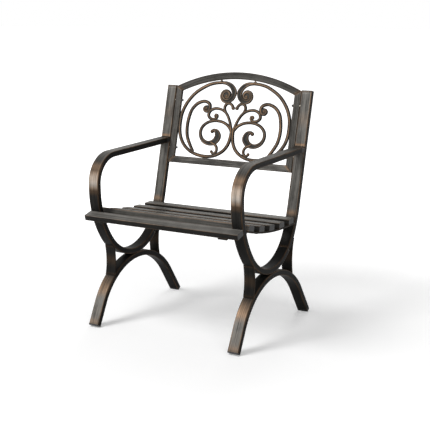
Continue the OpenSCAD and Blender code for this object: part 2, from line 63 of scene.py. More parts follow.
# Lengths in millimetres: name, value, what it is
LENGTHS = (
    ("chair_w", 600, "Width over the side frames"),
    ("chair_h", 855, "Height of the crown of the back"),
    ("tube_w", 40, "Width of the flat-sided tube"),
    ("tube_t", 20, "Thickness of the tube in the side view"),
    ("tube_corner", 3, "Radius of the tube's long edges"),
    ("weld_gap", 0.2, "Gap left between welded pieces"),
    ("bowl_r", 187, "Outer radius of the bowl under the seat"),
    ("upright_r", 314, "Outer radius of the front upright"),
    ("upright_len", 18, "Straight length below the arm bend"),
    ("arm_r", 106, "Outer radius of the bend of the arm"),
    ("post_r", 412, "Outer radius between bowl and post"),
    ("cap_t", 2, "Thickness of the cap on a post"),
    ("arch_h", 216, "Height of the leg arch"),
    ("arch_r", 251, "Outer radius of the leg arch"),
    ("arch_back", 18, "Middle of the arch behind that of the bowl"),
    ("foot_t", 4, "Thickness of a foot below its tube"),
    ("foot_flat", 1.5, "Height cut off a foot's lower corner"),
    ("strap_t", 5, "Thickness of the straps"),
    ("strap_r", 230, "Bend radius of the straps"),
    ("front_strap_y", 126, "Front strap in front of the bowl's middle"),
    ("rear_strap_y", 144, "Rear strap behind the bowl's middle"),
    ("strap_z", 222, "Height of the straps' middle"),
    ("slat_w", 38, "Width of a slat"),
    ("slat_h", 20, "Height of a slat"),
    ("slat_wall", 1.2, "Wall of a slat"),
    ("slat_corner", 2.5, "Radius of a slat's long edges"),
    ("seat_r", 1030, "Radius of the dished rail"),
    ("seat_back", 113, "Lowest point of the seat behind the bowl's middle"),
    ("seat_z", 351, "Height of the rail's lowest point"),
    ("rail_t", 5, "Thickness of the seat rail"),
    ("slat_pitch", 73, "Distance between slats"),
    ("last_slat", 23, "Rearmost slat behind the lowest point"),
    ("front_slat_rise", 43.8, "Height of the front slat above the rail's lowest point"),
    ("bar_w", 25, "Width of the bars of the back"),
    ("bar_d", 10, "Depth of the bars of the back"),
    ("bar_corner", 1.5, "Radius of the bars' edges"),
    ("side_gap", 1.5, "Gap between post and back frame"),
    ("back_in", 2, "Setback of the back frame"),
    ("crown_r", 595, "Outer radius of the top rail"),
    ("crown_rise", 56.4, "Rise of the top rail above the posts"),
    ("back_len", 291, "Length of the back below the post tops"),
    ("scroll_t", 8, "Thickness of the cast scroll"),
    ("bead_r", 1.6, "Radius of a weld bead"),
)
# Angles in degrees: name, value, what it is
ANGLES = (
    ("bowl_front_turn", 52, "Turn of the bowl to the upright"),
    ("bowl_rear_turn", 60, "Turn of the bowl to the post"),
    ("seam_turn", 42, "Where arm tube and post are butted"),
    ("arm_rise", 1, "Rise of the armrest to the back"),
    ("rake", 15.35, "Lean of the post"),
    ("front_leg_turn", 62, "Turn of the arch to the front leg"),
    ("rear_leg_turn", 56, "Turn of the arch to the rear leg"),
)
# Colours as linear red, green and blue
COLOURS = (
    # The black shows on narrow sides and undersides partly as painted shade, and how much grey shows is
    # partly painted light
    ("black", (0.0060, 0.0058, 0.0053), "Black coat in corners and on narrow sides"),
    ("grey", (0.225, 0.214, 0.196), "Brushed coat on the broad faces"),
    ("copper", (0.42, 0.245, 0.130), "Copper that shows where the coat is rubbed through"),
    ("plastic", (0.010, 0.010, 0.010), "Caps, plugs and feet"),
    ("fastener", (0.014, 0.013, 0.012), "Bolts, screws and washers"),
    ("zinc", (0.42, 0.40, 0.34), "Threaded inserts"),
    ("floor", (0.86, 0.86, 0.86), "Floor"),
)


def sliders(rows, scale, **kind):
    """Properties for rows of name, value and what it is."""
    return {
        name: FloatProperty(name=name.replace("_", " "), description=what, default=value * scale, **kind)
        for name, value, what in rows
    }


class ChairSizes(bpy.types.PropertyGroup):
    """Sizes of the armchair's pieces"""

    __annotations__ = {
        **sliders(LENGTHS, 0.001, unit="LENGTH"),
        **sliders(ANGLES, np.pi / 180, subtype="ANGLE"),
    }


class ChairFinish(bpy.types.PropertyGroup):
    """Colours of the armchair's finish"""

    __annotations__ = {
        name: FloatVectorProperty(
            name=name, description=what, default=colour, size=3, subtype="COLOR", min=0, max=1
        )
        for name, colour, what in COLOURS
    }


# Curves of the side frame


def toward(a):
    """Direction (cos a, sin a) in the side view."""
    return np.array([np.cos(a), np.sin(a)])


class Side:
    """Circles and lines of a side frame, in the side view."""

    def __init__(self, s):
        self.s = s
        self.front_a = 3 * QUARTER - s.bowl_front_turn
        self.rear_a = 3 * QUARTER + s.bowl_rear_turn
        self.arch_z = s.arch_h - s.arch_r
        reach = s.arch_r + s.bowl_r + s.weld_gap
        bowl = np.array([0, self.arch_z + np.sqrt(reach**2 - s.arch_back**2)])
        upright = bowl + (s.bowl_r - s.upright_r) * toward(self.front_a)
        # The upright's outer face is the foremost part of the arm tube
        shift = np.array([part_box("right_arm_tube")[0].y + s.upright_r - upright[0], 0])
        self.bowl, self.upright = bowl + shift, upright + shift
        self.post = self.bowl + (s.bowl_r - s.post_r) * toward(self.rear_a)
        self.arch = np.array([self.bowl[0] + s.arch_back, self.arch_z])
        self.post_up = toward(QUARTER - s.rake)
        self.post_back = toward(-s.rake)
        self.post_front = self.post + (s.post_r - s.tube_t) * self.post_back
        top_z = s.chair_h - s.crown_rise * np.cos(s.rake) + s.back_in * np.sin(s.rake)
        self.post_len = (top_z - self.post_front[1]) / self.post_up[1] - s.cap_t
        self.post_top = self.post_front + (self.post_len + s.cap_t) * self.post_up
        self.seat = np.array([self.bowl[0] + s.seat_back, s.seat_z + s.seat_r])

    def leg_len(self, turn):
        """Straight length of a leg between the arch and its foot."""
        s = self.s
        rise = self.arch_z + (s.arch_r - s.tube_t) * np.cos(turn) + s.foot_flat
        return rise / np.sin(turn) - s.foot_t

    def straps(self):
        """The two straps, each as the arguments of band up to its reach."""
        s = self.s
        arch, bowl = (self.arch, s.arch_r + s.weld_gap), (self.bowl, s.bowl_r + s.weld_gap)
        for name, y, middle, cuts in (
            ("front_strap", -s.front_strap_y, 0.0, (arch, bowl)),
            ("rear_strap", s.rear_strap_y, np.pi, (bowl, arch)),
        ):
            centre = np.array([self.bowl[0] + y - s.strap_r * np.cos(middle), s.strap_z])
            yield name, (centre, s.strap_r, s.strap_t, middle, cuts, 2 * s.tube_w)

    def rail(self):
        """The seat rail as the arguments of band up to its reach."""
        s = self.s
        inner = s.tube_t + s.weld_gap
        cuts = (self.upright, s.upright_r - inner), (self.post, s.post_r - inner)
        return self.seat, s.seat_r - s.rail_t / 2, s.rail_t, 3 * QUARTER, cuts, s.seat_r


def arc(centre, radius, start, end, step=0.006):
    """Stations [y, z, heading] along a circle, spaced by about one step."""
    n = max(2, int(np.ceil(abs(end - start) * radius / step)))
    a = np.linspace(start, end, n + 1)
    heading = a + np.sign(end - start) * QUARTER
    return np.column_stack([centre[0] + radius * np.cos(a), centre[1] + radius * np.sin(a), heading])


def straight(station, length, step=0.012):
    """Stations that run on in a straight line from the given one, without it."""
    n = max(1, int(np.ceil(abs(length) / step)))
    run = np.linspace(0, length, n + 1)[1:]
    h = station[2]
    return np.column_stack([station[0] + run * np.cos(h), station[1] + run * np.sin(h), np.full(n, h)])


def run_of(points):
    """Length run along a line of points."""
    return np.r_[0, np.cumsum(np.linalg.norm(np.diff(points, axis=0), axis=1))]


def section(w, t, r, arc_points=5, support=0.6):
    """Closed rounded rectangle with an extra point on each side of a corner.

    Corner points lie on quarter circles of radius r. Returns the points, how far each is an edge
    (1 on the corners, 0.2 beside them) and how far it is on a narrow side.
    """
    points = []
    gap = support * r
    for q, (sx, sn) in enumerate(((1, 1), (-1, 1), (-1, -1), (1, -1))):
        a = QUARTER * (q + np.linspace(0, 1, arc_points))
        corner = [sx * (w / 2 - r), sn * (t / 2 - r)] + r * np.column_stack([np.cos(a), np.sin(a)])
        beside = [np.array([0, -sn]), np.array([-sx, 0])][:: -1 if q % 2 else 1]
        points += [corner[:1] + gap * beside[0], corner, corner[-1:] + gap * beside[1]]
    points = np.vstack(points)
    edge = np.tile([0.2] + [1.0] * arc_points + [0.2], 4)
    return points, edge, np.clip((np.abs(points[:, 0]) - (w / 2 - r)) / r, 0, 1)


def carry(stations, x, ring, cut=None):
    """A section carried along the stations of a side piece: point = place + x * a + n * b.

    With a cut plane, given by a point and a normal, the last ring is slid onto it along its travel.
    """
    h = stations[:, 2, None]
    zero = np.zeros_like(h)
    b, travel = np.hstack([zero, -np.sin(h), np.cos(h)]), np.hstack([zero, np.cos(h), np.sin(h)])
    place = np.column_stack([zero + x, stations[:, :2]])
    rings = place[:, None] + ring[:, :1] * [1.0, 0, 0] + ring[None, :, 1:] * b[:, None]
    if cut is not None:
        spot, normal = cut
        run = ((spot - rings[-1]) @ normal) / (travel[-1] @ normal)
        rings[-1] += run[:, None] * travel[-1]
    return rings


def crossing(centre, r, middle, way, other, other_r, reach):
    """Angle at which a circle, followed from a middle angle, meets another one or is as far off as its reach.

    With d the distance of the centres, the meeting points lie at arccos((d^2 + r^2 - R^2) / 2dr) to each
    side of the line between the centres, and the reach is met at arcsin(reach / r).
    """
    line = other - centre
    d = np.linalg.norm(line)
    share = (d * d + r * r - other_r * other_r) / (2 * d * r)
    turns = [np.arcsin(min(reach / r, 1))]
    if abs(share) < 1:
        both = [(np.arctan2(line[1], line[0]) + k * np.arccos(share) - middle) * way for k in (-1, 1)]
        turns += [t for t in (np.mod(np.add(both, np.pi), 2 * np.pi) - np.pi) if t > 0]
    return middle + way * min(turns)


def band(centre, r, t, middle, cuts, reach, ring, x, step=0.006):
    """Rings of a flat bar bent to a circle, each line of it ending where it meets the circles in cuts."""
    radii = r - ring[:, 1]
    low, high = (
        np.array([crossing(centre, q, middle, way, *cut, reach) for q in radii])
        for way, cut in zip((-1, 1), cuts)
    )
    n = int(np.ceil((high.max() - low.min()) * r / step))
    a = low + np.linspace(0, 1, n + 1)[:, None] * (high - low)
    y, z = centre[0] + radii * np.cos(a), centre[1] + radii * np.sin(a)
    return np.stack([np.broadcast_to(x + ring[:, 0], a.shape), y, z], -1)


def bells(value, spots):
    """Sum of bell curves, kept within 0 and 1.

    Each is height * exp(-((value - middle) / width)^2) for one (middle, width, height).
    """
    middle, width, height = np.array(spots, float).T
    total = height * np.exp(-(((value[:, None] - middle) / width) ** 2))
    return np.clip(total.sum(1), 0, 1)


def eased(run, knots):
    """Values along a run, smoothly joined through (place, value) knots: a + (b - a) (3t^2 - 2t^3)."""
    at, value = np.array(knots, float).T
    k = np.clip(np.searchsorted(at, run) - 1, 0, len(at) - 2)
    t = np.clip((run - at[k]) / (at[k + 1] - at[k]), 0, 1)
    return value[k] + (value[k + 1] - value[k]) * t * t * (3 - 2 * t)


# Meshes


class Skin:
    """Collects closed sweeps into one mesh, with their wear and painted light and their lengthwise UV."""

    def __init__(self):
        self.points, self.wear, self.quads, self.quad_uv, self.caps, self.cap_uv = ([] for _ in range(6))
        self.count = 0

    def sweep(self, rings, edge=0.0, rub=0.0, side=0.0, tone=0.0, bore=None, seed=0.0, around=1.0):
        """Skin over rings with flat ends, or with rims round a bore that has as many points.

        The wear and painted light hold edge, rub, side and tone: edge and rub are wear, while side and tone
        are partly brushing and partly painted light and shade, with a painted highlight where tone passes 1.
        In the UV, u is the length run and v the way round the section times around, so that 0 gives streaks
        that do not change round it.
        """
        n, m = rings.shape[:2]
        wear = np.stack([np.broadcast_to(w, (n, m)) for w in (edge, rub, side, tone)], -1)
        first = rings[0] - rings[0].mean(0)
        area = np.cross(first, np.roll(first, -1, 0)).sum(0)
        if area @ (rings[1].mean(0) - rings[0].mean(0)) < 0:
            rings, wear = rings[:, ::-1], wear[:, ::-1]
            bore = None if bore is None else bore[:, ::-1]
        run = run_of(rings.mean(1)) + seed
        way = around * run_of(np.vstack([rings[n // 2], rings[n // 2][:1]]))
        i, j = np.divmod(np.arange((n - 1) * m), m)
        k = (j + 1) % m
        wall = np.stack([i * m + j, i * m + k, (i + 1) * m + k, (i + 1) * m + j], -1)
        u = np.stack([run[i], run[i], run[i + 1], run[i + 1]], -1)
        uv = np.stack([u, np.stack([way[j], way[j + 1], way[j + 1], way[j]], -1)], -1)
        self.points.append(rings.reshape(-1, 3))
        self.wear.append(wear.reshape(-1, 4))
        self.quads.append(wall + self.count)
        self.quad_uv.append(uv)
        if bore is None:
            ends = range(m - 1, -1, -1), range((n - 1) * m, n * m)
            self.caps += [[self.count + q for q in end] for end in ends]
            self.cap_uv += [(run[0], way[q]) for q in range(m - 1, -1, -1)]
            self.cap_uv += [(run[-1], way[q]) for q in range(m)]
            self.count += n * m
            return
        self.points.append(bore.reshape(-1, 3))
        self.wear.append(np.tile([0.0, 0.0, 1.0, 0.0], (n * m, 1)))
        self.quads.append(wall[:, ::-1] + self.count + n * m)
        self.quad_uv.append(uv)
        j = np.arange(m)
        k = (j + 1) % m
        start = np.stack([k, j, j + n * m, k + n * m], -1)
        self.caps += (np.vstack([start, start[:, ::-1] + (n - 1) * m]) + self.count).tolist()
        self.cap_uv += [(run[0], 0)] * 4 * m + [(run[-1], 0)] * 4 * m
        self.count += 2 * n * m

    def piece(self, name, finish, replaced=()):
        """The finished object, riding on the chair in place of the named CAD nodes."""
        mesh = bpy.data.meshes.new(name)
        quads = np.vstack(self.quads)
        mesh.from_pydata(np.vstack(self.points).tolist(), [], quads.tolist() + self.caps)
        mesh.polygons.foreach_set("use_smooth", np.arange(len(mesh.polygons)) < len(quads))
        attribute = mesh.attributes.new("wear", "FLOAT_COLOR", "POINT")
        attribute.data.foreach_set("color", np.vstack(self.wear).astype(np.float32).ravel())
        uv = np.vstack([np.vstack(self.quad_uv).reshape(-1, 2), self.cap_uv])
        mesh.uv_layers.new(name="along").data.foreach_set("uv", uv.ravel())
        mesh.validate()
        obj = bpy.data.objects.new(name, mesh)
        bpy.context.scene.collection.objects.link(obj)
        mesh.materials.append(finish_named(finish))
        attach(obj, BODY)
        if replaced:
            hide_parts(*replaced)


# Shader nodes


def feed(tree, node, ins):
    """Fills inputs of a node, each with a value or with an output of another node."""
    for key, value in ins.items():
        if isinstance(value, bpy.types.NodeSocket):
            tree.links.new(value, node.inputs[key])
        else:
            node.inputs[key].default_value = value


def add(tree, kind, ins=None, **settings):
    """New node with its settings and inputs."""
    node = tree.nodes.new(kind)
    for key, value in settings.items():
        setattr(node, key, value)
    feed(tree, node, ins or {})
    return node


def new_material(name):
    """Material with its output and a Principled shader."""
    m = bpy.data.materials.new(name)
    m.use_nodes = True
    tree = m.node_tree
    tree.nodes.clear()
    shader = add(tree, "ShaderNodeBsdfPrincipled")
    add(tree, "ShaderNodeOutputMaterial", {"Surface": shader.outputs["BSDF"]})
    return m, tree, shader


def calc(tree, operation, *values, clamp=False):
    node = add(tree, "ShaderNodeMath", dict(enumerate(values)), operation=operation, use_clamp=clamp)
    return node.outputs[0]


def ramp(tree, value, low, high, to_low=0.0, to_high=1.0):
    """Value eased from the range low to high into the range to_low to to_high."""
    ins = {"Value": value, "From Min": low, "From Max": high, "To Min": to_low, "To Max": to_high}
    return add(tree, "ShaderNodeMapRange", ins, interpolation_type="SMOOTHSTEP").outputs["Result"]


def mixed(tree, factor, a, b, **settings):
    return add(tree, "ShaderNodeMix", {0: factor, 6: a, 7: b}, data_type="RGBA", **settings).outputs[2]


def noise(tree, vector, scale, detail=3.0, roughness=0.6):
    ins = {"Vector": vector, "Scale": scale, "Detail": detail, "Roughness": roughness}
    return add(tree, "ShaderNodeTexNoise", ins).outputs["Fac"]


def stretched(tree, vector, scale):
    return add(tree, "ShaderNodeMapping", {"Vector": vector, "Scale": scale}).outputs[0]


def new_group(name, inputs, outputs):
    """Shader node group with named sockets, each a name and its type."""
    group = bpy.data.node_groups.new(name, "ShaderNodeTree")
    for way, sockets in (("INPUT", inputs), ("OUTPUT", outputs)):
        for socket, kind in sockets.items():
            group.interface.new_socket(name=socket, in_out=way, socket_type=kind)
    return group, group.nodes.new("NodeGroupInput").outputs, group.nodes.new("NodeGroupOutput")


FLOAT, COLOUR, VECTOR = "NodeSocketFloat", "NodeSocketColor", "NodeSocketVector"


def rubbed_finish():
    """Black coat that is brushed to grey on its broad faces and rubbed through to copper, with light and
    shade partly painted in.

    Streaks are noise drawn out along the brushing, at two widths, mixed with a cloud. The tone weight
    times the streaks, which keep the thin coat's share of it at least, gives the grey, and a tone above 1
    is brighter than the grey itself, a painted highlight. The tone weight is partly the brushing and
    partly painted light and shade, and the side weight takes the grey off narrow sides, partly as painted
    shade. Copper shows where the edge weight times the cloud, or the rub weight times the streaks, passes a
    threshold, and it is brown where the tone is low, so the painted shade darkens it as well.
    """
    group, i, out = new_group(
        "Rubbed finish",
        {
            "Brushing": VECTOR,
            "Place": VECTOR,
            "Edge": FLOAT,
            "Rub": FLOAT,
            "Side": FLOAT,
            "Tone": FLOAT,
            "Black": COLOUR,
            "Grey": COLOUR,
            "Copper": COLOUR,
            "Edge wear": FLOAT,
            "Thin coat": FLOAT,
        },
        {"Colour": COLOUR, "Roughness": FLOAT, "Metallic": FLOAT, "Height": FLOAT},
    )
    streak = noise(group, i["Brushing"], 1.0, 4.0, 0.65)
    wide_streak = noise(group, stretched(group, i["Brushing"], (0.4, 0.28, 1)), 1.0, 2.0)
    cloud = noise(group, i["Place"], 17.0, 4.0, 0.65)
    grain = noise(group, i["Place"], 420.0, 2.0)
    blend = calc(group, "MULTIPLY_ADD", streak, 0.5, calc(group, "MULTIPLY", wide_streak, 0.3))
    blend = calc(group, "MULTIPLY_ADD", cloud, 0.2, blend)
    # Narrow sides lose the grey, partly as the unbrushed coat and partly as painted shade
    tone = calc(group, "MULTIPLY", i["Tone"], calc(group, "SUBTRACT", 1.0, i["Side"], clamp=True))
    tone = calc(group, "MULTIPLY", tone, ramp(group, blend, 0.40, 0.60, i["Thin coat"], 1.0))
    worn_edge = calc(group, "MULTIPLY", i["Edge"], i["Edge wear"])
    worn_edge = calc(group, "MULTIPLY", worn_edge, calc(group, "ADD", cloud, 0.45))
    edge = ramp(group, worn_edge, 0.30, 0.85)
    rub = ramp(group, calc(group, "MULTIPLY", i["Rub"], calc(group, "ADD", blend, 0.40)), 0.20, 0.85)
    copper = calc(group, "MAXIMUM", edge, calc(group, "MULTIPLY", rub, 0.9))
    # Copper turns brown where the tone is low, so painted shade darkens it too
    shade = mixed(group, ramp(group, tone, 0.0, 0.9, 0.22, 1.0), i["Black"], i["Copper"])
    # Unclamped, so that a tone above 1 paints a highlight brighter than the grey
    colour = mixed(group, tone, i["Black"], i["Grey"], clamp_factor=False)
    colour = mixed(group, copper, colour, shade)
    rough = calc(group, "MULTIPLY_ADD", grain, 0.08, ramp(group, streak, 0.3, 0.7, 0.34, 0.50))
    metal = calc(group, "MAXIMUM", calc(group, "MULTIPLY", tone, 0.25), calc(group, "MULTIPLY", copper, 0.6))
    height = calc(group, "MULTIPLY_ADD", streak, 0.6, calc(group, "MULTIPLY", grain, 0.4))
    feed(group, out, {"Colour": colour, "Roughness": rough, "Metallic": metal, "Height": height})
    return group


def with_alpha(colour):
    return (*colour, 1.0)


def coated(name, finish, edge_wear, thin_coat=0.12, stretch=(9, 300, 1), with_wear_and_light=True):
    """Material of the coated metal; stretch scales the noise along and across the brushing.

    A piece without its own wear and painted light is brushed across the chair, evenly and thinly.
    """
    m, tree, shader = new_material(name)
    place = add(tree, "ShaderNodeTexCoord").outputs["Object"]
    ins = {
        "Place": place,
        "Black": with_alpha(finish.black),
        "Grey": with_alpha(finish.grey),
        "Copper": with_alpha(finish.copper),
        "Edge wear": edge_wear,
        "Thin coat": thin_coat,
    }
    if with_wear_and_light:
        ins["Brushing"] = stretched(tree, add(tree, "ShaderNodeUVMap", uv_map="along").outputs["UV"], stretch)
        # Edge and rub are wear; side and tone are partly brushing, partly painted light and shade
        wear = add(tree, "ShaderNodeAttribute", attribute_name="wear").outputs
        parts = add(tree, "ShaderNodeSeparateColor", {"Color": wear["Color"]}).outputs
        ins.update({"Edge": parts[0], "Rub": parts[1], "Side": parts[2], "Tone": wear["Alpha"]})
    else:
        ins["Brushing"] = stretched(tree, place, stretch)
        ins["Tone"] = 0.2
    group = bpy.data.node_groups.get("Rubbed finish") or rubbed_finish()
    made = add(tree, "ShaderNodeGroup", ins, node_tree=group).outputs
    bump = add(tree, "ShaderNodeBump", {"Height": made["Height"], "Strength": 0.25, "Distance": 0.0003})
    surface = {
        "Base Color": made["Colour"],
        "Roughness": made["Roughness"],
        "Metallic": made["Metallic"],
        "Normal": bump.outputs[0],
        "Specular IOR Level": 0.04,
    }
    feed(tree, shader, surface)
    return m


def small_part(name, colour, roughness, metallic):
    """Material of a small part: fine mottled grain in colour, roughness and height."""
    m, tree, shader = new_material(name)
    place = add(tree, "ShaderNodeTexCoord").outputs["Object"]
    grain = noise(tree, place, 600.0)
    lighter = with_alpha([1.9 * c for c in colour])
    soft = ramp(tree, noise(tree, place, 60.0, 2.0), 0.35, 0.7)
    bump = add(tree, "ShaderNodeBump", {"Height": grain, "Strength": 0.3, "Distance": 0.0002})
    surface = {
        "Base Color": mixed(tree, soft, with_alpha(colour), lighter),
        "Roughness": ramp(tree, grain, 0.3, 0.7, roughness - 0.07, roughness + 0.07),
        "Metallic": metallic,
        "Normal": bump.outputs[0],
        "Specular IOR Level": 0.25,
    }
    feed(tree, shader, surface)
    return m


def finish_named(name):
    """Material by name, made once for all pieces."""
    finish = bpy.context.scene.chair_finish
    makers = {
        "bronzed_tube": lambda: coated(name, finish, 0.55, 0.35),
        "bronzed_bar": lambda: coated(name, finish, 0.50, 0.3),
        "brushed_slat": lambda: coated(name, finish, 0.60, 0.35, (3, 420, 1)),
        "rubbed_scroll": lambda: coated(name, finish, 0.80, 0.3, (40, 500, 1)),
        "bronzed_plate": lambda: coated(name, finish, 0.0, stretch=(12, 300, 300), with_wear_and_light=False),
        "black_plastic": lambda: small_part(name, finish.plastic, 0.5, 0.0),
        "black_steel": lambda: small_part(name, finish.fastener, 0.4, 0.4),
        "zinc_plate": lambda: small_part(name, finish.zinc, 0.35, 0.9),
    }
    return bpy.data.materials.get(name) or makers[name]()


# Pieces


class ChairOperator(bpy.types.Operator):
    """Shared ground of the operators that build the chair"""

    bl_options = {"REGISTER", "UNDO"}

    def execute(self, context):
        s = context.scene.chair_sizes
        self.make(s, Side(s), (s.chair_w - s.tube_w) / 2)
        return {"FINISHED"}

    def bent_tube(self, s, x, node, stations, rub, tone, inner=0.3, cut=None, seed=0):
        """One bent tube on each side; rub and tone run along it, and its inner face has less of them. The
        tone is partly brushing and partly painted light, and the inner face's smaller share is partly painted
        shade.
        """
        ring, edge, narrow = section(s.tube_w, s.tube_t, s.tube_corner)
        run = run_of(stations[:, :2])
        # The inner face is painted darker, partly as painted shade
        weight = np.where(ring[:, 1] > 0, 1, inner)
        rubbed = bells(run, rub(run[-1]))[:, None] * weight
        toned = eased(run, tone(run[-1]))[:, None] * weight
        for side, sign in SIDES:
            skin = Skin()
            skin.sweep(carry(stations, sign * x, ring, cut), edge, rubbed, narrow, toned, seed=seed + sign)
            name = f"{side}_{node}"
            skin.piece(name + "_skin", "bronzed_tube", [name])

    def flat_bar(self, s, x, node, bar, rub, tone, seed):
        """One bent flat bar on each side; rub holds bell curves along its length from 0 to 1."""
        thickness = bar[2]
        ring, edge, narrow = section(s.tube_w, thickness, 0.24 * thickness, 3)
        for side, sign in SIDES:
            skin = Skin()
            rings = band(*bar, ring, sign * x)
            rubbed = bells(np.linspace(0, 1, len(rings)), rub)[:, None]
            skin.sweep(rings, edge, rubbed, narrow, tone, seed=seed + sign)
            name = f"{side}_{node}"
            skin.piece(name + "_skin", "bronzed_bar", [name])


class ArmTubes(ChairOperator):
    """Bent tubes that are armrest, front upright and bowl in one"""

    bl_idname = "object.chair_arm_tubes"
    bl_label = "Arm tubes"

    def make(self, s, view, x):
        mid = s.tube_t / 2
        bowl = arc(view.bowl, s.bowl_r - mid, 3 * QUARTER + s.seam_turn, view.front_a)
        upright = arc(view.upright, s.upright_r - mid, view.front_a, np.pi)
        y, z, _ = upright[-1]
        bend = arc([y + s.arm_r - mid, z + s.upright_len], s.arm_r - mid, np.pi, QUARTER + s.arm_rise)
        to_post = view.post_front[0] - bend[-1, 0] + (bend[-1, 1] - view.post_front[1]) * np.tan(s.rake)
        # The last station stands clear of the post, and its ring runs on to the post's face
        rest = straight(bend[-1], to_post - mid)
        normal = np.array([0, *view.post_back])
        cut = np.array([0, *view.post_front]) - s.weld_gap * normal, normal
        after_upright = to_post + (s.arm_r - mid) * (QUARTER - s.arm_rise)

        def rub(length):
            start = length - after_upright
            return (
                (0, 0.012, 0.6), (start - 0.01, 0.02, 0.6), (start + 0.028, 0.02, 0.40),
                (start + 0.07, 0.03, 0.65), (length - 0.10, 0.03, 0.2), (length, 0.02, 0.5),
            )

        # Dark on the bowl and the upright, a painted highlight on the bend and grey on the armrest: partly
        # brushing, partly painted light and shade
        def tone(length):
            start = length - after_upright
            # Painted highlight of the lamp on the front of the arm's bend, brighter than the grey
            painted_highlight = (start + 0.024, 2.4), (start + 0.034, 2.4)
            return (
                (0, 0.05), (start - 0.14, 0.05), (start - 0.01, 0.10), *painted_highlight,
                (start + 0.06, 0.28), (start + 0.17, 0.70), (length - 0.08, 0.50), (length, 0.2),
            )

        stations = np.vstack([bowl, upright[1:], bend, rest])
        self.bent_tube(s, x, "arm_tube", stations, rub, tone, cut=cut, seed=1)


class BackPosts(ChairOperator):
    """Raked posts whose lower ends bend forward into the bowl"""

    bl_idname = "object.chair_back_posts"
    bl_label = "Back posts"

    def make(self, s, view, x):
        mid = s.tube_t / 2
        bowl = arc(view.bowl, s.bowl_r - mid, 3 * QUARTER + s.seam_turn, view.rear_a)
        bend = arc(view.post, s.post_r - mid, view.rear_a, 4 * QUARTER - s.rake)
        stations = np.vstack([bowl, bend[1:], straight(bend[-1], view.post_len)])
        above_arm = (view.post_top[1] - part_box("right_arm_tube")[1].z) / view.post_up[1] - s.cap_t

        def rub(length):
            return (
                (0, 0.012, 0.6), (length - 0.43, 0.018, 0.6), (length - 0.37, 0.03, 0.25),
                (length - above_arm + 0.003, 0.006, 0.9), (length - 0.10, 0.05, 0.4), (length, 0.004, 0.5),
            )

        # Dark on the bowl under the seat and grey up the raked post, which faces up to the light: partly
        # brushing, partly painted light and shade
        def tone(length):
            return ((0, 0.05), (length - 0.46, 0.1), (length - 0.42, 0.75), (length, 0.9))

        self.bent_tube(s, x, "back_post", stations, rub, tone, seed=4)


class LegArches(ChairOperator):
    """Inverted U tubes whose ends are the front and the rear leg"""

    bl_idname = "object.chair_leg_arches"
    bl_label = "Leg arches"

    def make(self, s, view, x):
        top = arc(view.arch, s.arch_r - s.tube_t / 2, QUARTER + s.front_leg_turn, QUARTER - s.rear_leg_turn)
        front = straight(top[0], -view.leg_len(s.front_leg_turn))[::-1]
        rear = straight(top[-1], view.leg_len(s.rear_leg_turn))

        def rub(length):
            return (
                (0.005, 0.02, 0.5), (0.05, 0.03, 0.3), (0.125, 0.035, 0.6), (0.17, 0.03, 0.4),
                (length, 0.01, 0.3),
            )

        # Grey on the lower front leg, which leans up to the light, and dark on the arch and rear leg under
        # the seat: partly brushing, partly painted light and shade
        def tone(length):
            return ((0, 1.0), (0.10, 1.0), (0.155, 0.4), (0.20, 0.06), (length, 0.05))

        self.bent_tube(s, x, "leg_arch", np.vstack([front, top, rear]), rub, tone, inner=0.15, seed=7)


class Straps(ChairOperator):
    """Curved flat bars between bowl and legs"""

    bl_idname = "object.chair_straps"
    bl_label = "Straps"

    def make(self, s, view, x):
        rub = ((0, 0.10, 0.5), (1, 0.10, 0.5), (0.5, 0.3, 0.5))
        for node, bar in view.straps():
            self.flat_bar(s, x, node, bar, rub, 0.07, seed=11)


class SeatRails(ChairOperator):
    """Dished flat bars under the ends of the slats"""

    bl_idname = "object.chair_seat_rails"
    bl_label = "Seat rails"

    def make(self, s, view, x):
        self.flat_bar(s, x, "seat_rail", view.rail(), ((0, 0.02, 0.3), (1, 0.02, 0.3)), 0.05, seed=15)


